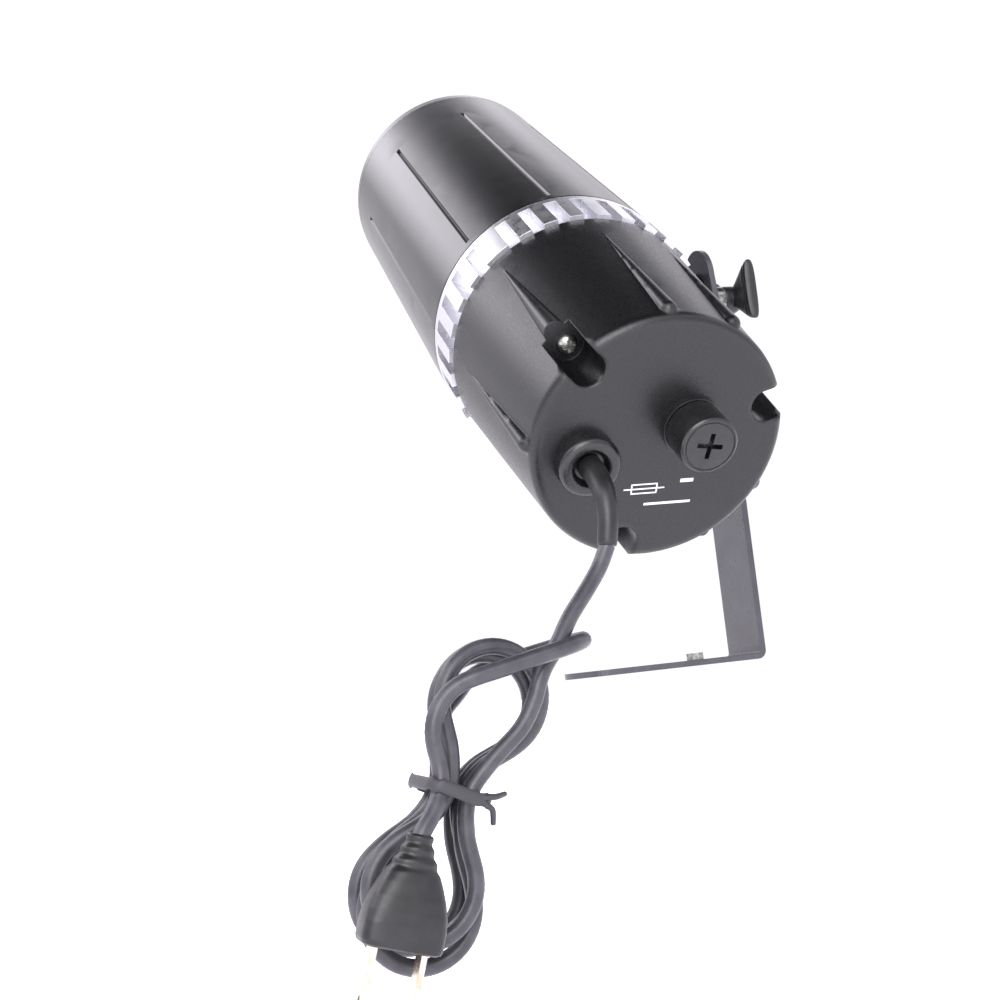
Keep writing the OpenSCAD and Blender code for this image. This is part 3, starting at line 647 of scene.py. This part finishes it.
class PROJECTOR_OT_lead(bpy.types.Operator):
    """Makes the mains lead from the sleeve to the plug as one curve, and its sleeve"""
    bl_idname = "projector.lead"
    bl_label = "Mains lead"

    def execute(self, context):
        settings = context.scene.projector_lead
        points = in_rows(LEAD_ROUTE) + in_hank(hank_points())
        path = eased(smooth_path(points, 8), EASE_RADIUS, EASE_STEP, EASE_ROUNDS)
        curve = bpy.data.curves.new("mains_cord", "CURVE")
        curve.dimensions = "3D"
        curve.bevel_depth = settings.diameter / 2
        curve.bevel_resolution = settings.sides
        curve.use_fill_caps = True
        spline = curve.splines.new("POLY")
        spline.points.add(len(path) - 1)
        for place, point in zip(spline.points, path):
            place.co = (*point, 1)
        cord = bpy.data.objects.new("mains_cord", curve)
        context.scene.collection.objects.link(cord)
        curve.materials.append(pvc_jacket())
        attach(cord, "lamp")
        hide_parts("mains_lead", "lead_hank", "plug_tail")
        sleeve_path = smooth_path(in_rows(SLEEVE_ROUTE), 8)
        first, last = settings.sleeve_radius, settings.diameter / 2 + 0.5 * MM
        count = len(sleeve_path)
        radii = [first + (last - first) * k / (count - 1) for k in range(count)]
        radii[-1] = last - 0.25 * MM
        radii[0] = first - 0.3 * MM
        mesh = mesh_from(lambda work: swept(work, sleeve_path, radii, 28))
        sleeve = new_piece("cord_sleeve_moulding", mesh, moulded_pvc(), "lamp")
        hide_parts("cord_sleeve")
        return {"FINISHED"}


class PROJECTOR_OT_tie(bpy.types.Operator):
    """Makes the twist tie round the hank's waist"""
    bl_idname = "projector.tie"
    bl_label = "Twist tie"

    def execute(self, context):
        # half size, corner radius and height of the ribbon's ring in the hank's frame, in mm
        half_x, half_y, corner, middle = 8.3, 14.1, 3.6, -42.0
        half_thick, half_wide = 0.55, 1.75
        centre = Vector((-1.6, -3.2, 0))

        def build(work):
            outline = []
            for cx, cy, start in ((1, 1, 0), (-1, 1, 90), (-1, -1, 180), (1, -1, 270)):
                for k in range(7):
                    angle = math.radians(start + 15 * k)
                    outline.append(centre + Vector((
                        cx * (half_x - corner) + corner * math.cos(angle),
                        cy * (half_y - corner) + corner * math.sin(angle), middle)))
            rings = []
            for i, point in enumerate(outline):
                along = (outline[(i + 1) % len(outline)] - outline[i - 1]).normalized()
                out = along.cross(Vector((0, 0, 1)))
                lift = 0.35 * math.sin(i * 1.7)
                section = [(half_thick * math.cos(t), half_wide * math.sin(t))
                           for t in (math.tau * k / 12 for k in range(12))]
                rings.append([point + out * a + Vector((0, 0, b + lift)) for a, b in section])
            loft(work, rings, closed=True)
            for side, tip in ((1, (10.5, -13.0, -38.8)), (-1, (9.5, -14.0, -47.0))):
                path = smooth_path([Vector((3.6, -16.6, middle)), Vector((5.6, -16.8, middle + side)),
                                    Vector((7.8, -15.8, middle + 1.8 * side)), Vector(tip)], 5)
                swept(work, path, [1.0 - 0.02 * k for k in range(len(path))], 8)
        mesh = mesh_from(build)
        mesh.transform(Matrix.Scale(MM, 4))
        mesh.transform(HANK)
        tie = new_piece("twist_tie", mesh, tie_plastic(), "lamp", 50)
        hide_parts("hank_tie")
        return {"FINISHED"}


class PROJECTOR_OT_plug(bpy.types.Operator):
    """Makes the moulded two-blade plug with its ribbed neck"""
    bl_idname = "projector.plug"
    bl_label = "Plug"

    def execute(self, context):
        place = (Matrix.Translation(Vector((-98, -114.6, -60)) * MM)
                 @ Matrix.Rotation(math.radians(18), 4, "Y"))
        neck_from, neck_to, rib_pitch, rib_depth = 18.4, 27.4, 3.0, 0.45
        # half width, half thickness, squareness and height of each section, in mm
        sections = [(9.2, 6.4, 5, 0.0), (10.2, 7.2, 5, 0.5), (10.5, 7.5, 5, 1.5),
                    (10.5, 7.5, 5, 6.0), (10.2, 7.3, 4.5, 9.0), (9.3, 6.8, 4, 12.5),
                    (8.0, 6.1, 3.4, 16.0), (6.4, 5.2, 2.8, 19.5), (5.0, 4.4, 2.4, 22.5),
                    (4.0, 3.9, 2.1, 25.0), (3.5, 3.5, 2.0, 27.4), (3.1, 3.1, 2.0, 28.0)]

        def build(work):
            rings = []
            for low, high in zip(sections, sections[1:]):
                for k in range(10):
                    t = k / 10
                    half_w, half_t, square, z = (a + (b - a) * t for a, b in zip(low, high))
                    wave = (math.cos(math.tau * (z - neck_from) / rib_pitch) - 1) / 2
                    rib = rib_depth * wave if neck_from < z < neck_to else 0.0
                    ring = []
                    for i in range(48):
                        angle = math.tau * i / 48
                        c, s = math.cos(angle), math.sin(angle)
                        x = math.copysign(abs(c) ** (2 / square), c) * (half_w + rib)
                        y = math.copysign(abs(s) ** (2 / square), s) * (half_t + rib)
                        ring.append(Vector((x, y, z)) * MM)
                    rings.append(ring)
            loft(work, rings)
        plug = new_piece("moulded_plug", mesh_from(build, place), moulded_pvc(), "lamp", 50)
        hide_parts("plug")
        return {"FINISHED"}


# ---- lamp pieces ----

class PROJECTOR_OT_screws(bpy.types.Operator):
    """Makes the three pan-head screws that stand in the housing's pockets"""
    bl_idname = "projector.screws"
    bl_label = "Housing screws"

    def execute(self, context):
        screws = frame["nodes"]["housing_screws"]
        local = [LAMP.inverted() @ v.co for v in screws.data.vertices]
        head_s = min(p.z for p in local)
        end_s = max(p.z for p in local)
        head = [p for p in local if p.z < head_s + 1 * MM]
        thirds = {round(math.degrees(math.atan2(-p.y, p.x)) / 120) for p in head}
        first = [p for p in head if abs(math.atan2(-p.y, p.x)) < 1]
        middle = sum(first, Vector()) / len(first)
        circle_r = math.hypot(middle.x, middle.y)
        phase = -math.atan2(-middle.y, middle.x)
        head_r, head_h, shank_r = 3.15 * MM, 2.2 * MM, 1.5 * MM
        profile = [(ON_AXIS, 0.0), (1.2 * MM, 0.03 * MM), (2.1 * MM, 0.28 * MM), (2.8 * MM, 0.85 * MM),
                   (head_r, 1.6 * MM), (head_r, head_h), (shank_r, head_h), (shank_r, end_s - head_s),
                   (ON_AXIS, end_s - head_s)]
        body = mesh_from(lambda work: turned(work, rounded(profile, 0.2 * MM, 2), 48))
        cross = [box_mesh((-1.9 * MM, -0.42 * MM, -1 * MM), (1.9 * MM, 0.42 * MM, 1.3 * MM), turn)
                 for turn in (0.6, 0.6 + math.pi / 2)]
        screw = cut_by(body, cross)
        material = zinc_plate()
        mesh = grown(screw, ring_tree(), {
            "Count": len(thirds), "Radius": circle_r, "Phase": phase, "Material": material})
        mesh.transform(LAMP @ Matrix.Translation((0, 0, head_s)))
        piece = new_piece("pan_head_screws", mesh, material, "lamp", 40)
        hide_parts("housing_screws")
        return {"FINISHED"}


class PROJECTOR_OT_fuse_cap(bpy.types.Operator):
    """Makes the fuse cap with its chamfered rim, ring line and cross slot"""
    bl_idname = "projector.fuse_cap"
    bl_label = "Fuse cap"

    def execute(self, context):
        middle, low, high = centre_in_lamp("fuse_cap")
        radius, height = (high.x - low.x) / 2, high.z - low.z
        line_r, depth = radius - 1.25 * MM, 0.35 * MM
        profile = [(ON_AXIS, 0), (line_r - 0.2 * MM, 0), (line_r - 0.2 * MM, depth),
                   (line_r + 0.2 * MM, depth), (line_r + 0.2 * MM, 0), (radius - 0.6 * MM, 0),
                   (radius, 0.6 * MM), (radius, height), (5.2 * MM, height), (5.2 * MM, height - 4 * MM),
                   (ON_AXIS, height - 4 * MM)]
        body = mesh_from(lambda work: turned(work, rounded(profile, 0.12 * MM, 2), 96))
        arms = [box_mesh((-4.0 * MM, -0.75 * MM, -1 * MM), (4.0 * MM, 0.75 * MM, 2.4 * MM), turn)
                for turn in (math.radians(8), math.radians(98))]
        mesh = cut_by(body, arms)
        mesh.transform(LAMP @ Matrix.Translation((middle.x, middle.y, low.z)))
        cap = new_piece("fuse_cap_moulding", mesh, phenolic(), "fuse_cap", 40)
        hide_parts("fuse_cap")
        return {"FINISHED"}


class PROJECTOR_OT_gland(bpy.types.Operator):
    """Makes the cable gland with its rounded rim and the recess that the sleeve comes out of"""
    bl_idname = "projector.gland"
    bl_label = "Cable gland"

    def execute(self, context):
        middle, low, high = centre_in_lamp("gland")
        radius, height = (high.x - low.x) / 2, high.z - low.z
        profile = [(ON_AXIS, 3.2 * MM), (5.0 * MM, 3.2 * MM), (5.7 * MM, 0.3 * MM), (6.3 * MM, 0),
                   (radius - 1.3 * MM, 0), (radius, 1.3 * MM), (radius, height), (ON_AXIS, height)]
        mesh = mesh_from(lambda work: turned(work, rounded(profile, 1.0 * MM, 5), 96))
        mesh.transform(LAMP @ Matrix.Translation((middle.x, middle.y, low.z)))
        gland = new_piece("gland_moulding", mesh, phenolic(), "lamp", 50)
        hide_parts("gland")
        return {"FINISHED"}


class PROJECTOR_OT_knob(bpy.types.Operator):
    """Makes the wing knob: a hub with two swept paddles that are ribbed at their tips"""
    bl_idname = "projector.knob"
    bl_label = "Wing knob"

    def execute(self, context):
        points = [v.co - PIVOT for v in frame["nodes"]["tilt_knob"].data.vertices]
        inner = min(p.x for p in points)
        depth = max(p.x for p in points) - inner
        far = max(points, key=lambda p: math.hypot(p.y, p.z))
        span = math.hypot(far.y, far.z)
        tip_points = [p for p in points
                      if math.hypot(p.y, p.z) > span * 0.97 and p.y * far.y + p.z * far.z > 0]
        middle = sum(tip_points, Vector()) / len(tip_points)
        turn = math.atan2(middle.z, middle.y)
        tip = math.hypot(middle.y, middle.z) - 0.6 * MM
        half_h = max(abs((p.z * middle.y - p.y * middle.z) / middle.yz.length)
                     for p in tip_points) - 0.4 * MM
        root, root_half = 1.5 * MM, 3.4 * MM

        def build(work):
            for side in (1, -1):
                rings = []
                for k in range(25):
                    t = k / 24
                    out = root + (tip - root) * t
                    flare = t * t * (3 - 2 * t)
                    rib = 0.22 * MM * math.sin(math.tau * t * 15) if t > 0.72 else 0.0
                    half = root_half + (half_h - root_half) * flare - (1.1 * MM if k == 24 else 0)
                    thick = (1.5 + 0.35 * flare) * MM + rib - (0.9 * MM if k == 24 else 0)
                    lift = depth * (0.36 + 0.08 * flare)
                    ring = []
                    for i in range(32):
                        c, s = math.cos(math.tau * i / 32), math.sin(math.tau * i / 32)
                        ring.append(Vector((lift + math.copysign(abs(s) ** 0.6, s) * thick, side * out,
                                            math.copysign(abs(c) ** 0.6, c) * half)))
                    rings.append(ring)
                loft(work, rings)
            hub = [(ON_AXIS, 0), (5.0 * MM, 0), (5.0 * MM, depth * 0.42), (3.6 * MM, depth * 0.62),
                   (ON_AXIS, depth * 0.66)]
            start = len(work.verts)
            turned(work, rounded(hub, 0.6 * MM), 48)
            work.verts.ensure_lookup_table()
            bmesh.ops.rotate(work, verts=work.verts[start:], matrix=Matrix.Rotation(math.pi / 2, 3, "Y"))
        place = Matrix.Translation(PIVOT + Vector((inner, 0, 0))) @ Matrix.Rotation(turn, 4, "X")
        knob = new_piece("wing_knob", mesh_from(build, place), nylon(), "knob", 45)
        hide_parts("tilt_knob")
        return {"FINISHED"}


class PROJECTOR_OT_print(bpy.types.Operator):
    """Makes the plain print beside the fuse holder: a fuse's circuit symbol over two rules"""
    bl_idname = "projector.print"
    bl_label = "Print"

    def execute(self, context):
        line, film = 0.45 * MM, 0.03 * MM

        def bar(work, x, y, width, height):
            made = bmesh.ops.create_cube(work, size=1)
            for v in made["verts"]:
                v.co = Vector((x + v.co.x * width, y + v.co.y * height, (v.co.z - 0.5) * film))

        def build(work):
            x, y, width, height = -3 * MM, 15.5 * MM, 8 * MM, 3 * MM
            for side in (-1, 1):
                bar(work, x, y + side * height / 2, width + line, line)
                bar(work, x + side * width / 2, y, line, height)
            bar(work, x, y, width + 5 * MM, line)
            bar(work, 10.5 * MM, 13.6 * MM, 4.2 * MM, 1.2 * MM)
            bar(work, 5 * MM, 20.8 * MM, 15 * MM, 0.8 * MM)
        mesh = mesh_from(build)
        mesh.transform(LAMP)
        new_piece("fuse_symbol_print", mesh, print_ink(), "lamp")
        return {"FINISHED"}


class PROJECTOR_OT_finishes(bpy.types.Operator):
    """Gives every CAD piece that keeps its shape the finish of its material"""
    bl_idname = "projector.finishes"
    bl_label = "Finishes"

    def execute(self, context):
        for make, names in FINISHES:
            material = make()
            for name in names:
                for place in frame["nodes"][name].material_slots:
                    place.material = material
        return {"FINISHED"}


# ---- stage ----

class StageSettings(bpy.types.PropertyGroup):
    """The room round the lamp."""
    floor_gap: bpy.props.FloatProperty(
        name="Floor gap", description="Room between the CAD model's lowest point and the floor",
        default=0.006, min=0, max=1, unit="LENGTH")
    floor_light: bpy.props.FloatProperty(
        name="Floor light", description="Light that the floor gives out itself",
        default=0.75, min=0, max=10)
    key_power: bpy.props.FloatProperty(
        name="Key light", description="Power of the light beside the camera",
        default=16, min=0, unit="POWER")


CAMERA_AT = Vector((-0.16908, -0.48792, 0.00175))
CAMERA_YAW, CAMERA_PITCH, CAMERA_ROLL = (math.radians(a) for a in (-16.39, 6.89, -6.353))
CAMERA_LENS, CAMERA_SENSOR = 54, 36
KEY_AT, KEY_SIZE = (-0.55, -1.5, 0.55), (1.1, 0.9)
FLOOR_SIDE = 12


def softbox(name, place, size, power, target):
    """A rectangular soft light that faces a point and doesn't show in the view itself."""
    light = bpy.data.lights.new(name, "AREA")
    light.shape = "RECTANGLE"
    light.size, light.size_y = size
    light.energy = power
    box = bpy.data.objects.new(name, light)
    box.location = place
    box.rotation_euler = (Vector(target) - Vector(place)).to_track_quat("-Z", "Y").to_euler()
    box.visible_camera = False
    bpy.context.scene.collection.objects.link(box)


def pale_room(scene):
    """A white room with a bright cove, stronger on the left, and a dark ceiling. Glossy shapes mirror it."""
    world = bpy.data.worlds.new("pale room")
    world.use_nodes = True
    scene.world = world
    tree = world.node_tree
    tree.nodes.clear()
    way = add(tree, "ShaderNodeTexCoord").outputs["Generated"]
    split = add(tree, "ShaderNodeSeparateXYZ", {0: way})
    cove = add(tree, "ShaderNodeMapRange", {"Value": split.outputs["Z"], "From Min": 0.42, "From Max": 0.6,
                                            "To Min": 1.0, "To Max": 3.8})
    ceiling = add(tree, "ShaderNodeMapRange", {"Value": split.outputs["Z"], "From Min": 0.68,
                                               "From Max": 0.84, "To Min": 1.0, "To Max": 0.004})
    side = add(tree, "ShaderNodeMapRange", {"Value": split.outputs["X"], "From Min": -0.3, "From Max": 0.4,
                                            "To Min": 1.0, "To Max": 0.42})
    lit = add(tree, "ShaderNodeMath", {0: cove.outputs[0], 1: side.outputs[0]}, operation="MULTIPLY")
    wall = add(tree, "ShaderNodeMath", {0: lit.outputs[0], 1: 1.1}, operation="MAXIMUM")
    strength = add(tree, "ShaderNodeMath", {0: wall.outputs[0], 1: ceiling.outputs[0]},
                   operation="MULTIPLY")
    sky = add(tree, "ShaderNodeBackground", {"Color": linear("fbf8ff"), "Strength": strength.outputs[0]})
    add(tree, "ShaderNodeOutputWorld", {"Surface": sky.outputs[0]})


class PROJECTOR_OT_stage(bpy.types.Operator):
    """Sets the camera, the pale floor and the soft studio lights"""
    bl_idname = "projector.stage"
    bl_label = "Stage"

    def execute(self, context):
        scene = context.scene
        settings = scene.projector_stage
        camera = bpy.data.objects.new("camera", bpy.data.cameras.new("camera"))
        camera.data.lens = CAMERA_LENS
        camera.data.sensor_width = CAMERA_SENSOR
        turn = (Matrix.Rotation(CAMERA_YAW, 4, "Z")
                @ Matrix.Rotation(math.pi / 2 + CAMERA_PITCH, 4, "X")
                @ Matrix.Rotation(CAMERA_ROLL, 4, "Z"))
        camera.matrix_world = Matrix.Translation(CAMERA_AT) @ turn
        scene.collection.objects.link(camera)
        scene.camera = camera
        scene.view_settings.view_transform = "Standard"
        pale_room(scene)
        floor_z = CAD_BOX[0][2] - settings.floor_gap
        bpy.ops.mesh.primitive_plane_add(size=FLOOR_SIDE, location=(0, 0, floor_z))
        floor = context.object
        floor.name = "floor"
        floor.data.materials.append(surface(
            "lit acrylic table", "fbfbfb", 0.9, grain=[(30 * MM, 0.05 * MM, 0)],
            Emission_Color=linear("f6f2ff"), Emission_Strength=settings.floor_light)[0])
        middle = (Vector(CAD_BOX[0]) + Vector(CAD_BOX[1])) / 2
        softbox("key", KEY_AT, KEY_SIZE, settings.key_power, middle)
        return {"FINISHED"}


class PROJECTOR_PT_panel(bpy.types.Panel):
    """Lists the operators in the order in which they build the lamp."""
    bl_label = "Light projector"
    bl_idname = "PROJECTOR_PT_panel"
    bl_space_type = "VIEW_3D"
    bl_region_type = "UI"
    bl_category = "Projector"

    def draw(self, context):
        for operator in OPERATORS:
            self.layout.operator(operator.bl_idname)
        for settings in (context.scene.projector_lead, context.scene.projector_stage):
            for name in settings.bl_rna.properties.keys():
                if name not in ("rna_type", "name"):
                    self.layout.prop(settings, name)


OPERATORS = [PROJECTOR_OT_stage, PROJECTOR_OT_lead, PROJECTOR_OT_tie, PROJECTOR_OT_plug,
             PROJECTOR_OT_finishes, PROJECTOR_OT_screws, PROJECTOR_OT_fuse_cap, PROJECTOR_OT_gland,
             PROJECTOR_OT_knob, PROJECTOR_OT_print]
CLASSES = [LeadSettings, StageSettings] + OPERATORS + [PROJECTOR_PT_panel]


def register():
    for cls in CLASSES:
        bpy.utils.register_class(cls)
    bpy.types.Scene.projector_lead = bpy.props.PointerProperty(type=LeadSettings)
    bpy.types.Scene.projector_stage = bpy.props.PointerProperty(type=StageSettings)


def unregister():
    del bpy.types.Scene.projector_stage
    del bpy.types.Scene.projector_lead
    for cls in reversed(CLASSES):
        bpy.utils.unregister_class(cls)


def main():
    register()
    bpy.ops.projector.stage()
    bpy.ops.projector.lead()
    bpy.ops.projector.tie()
    bpy.ops.projector.plug()
    bpy.ops.projector.finishes()
    bpy.ops.projector.screws()
    bpy.ops.projector.fuse_cap()
    bpy.ops.projector.gland()
    bpy.ops.projector.knob()
    bpy.ops.projector.print()


if __name__ == "__main__":
    main()
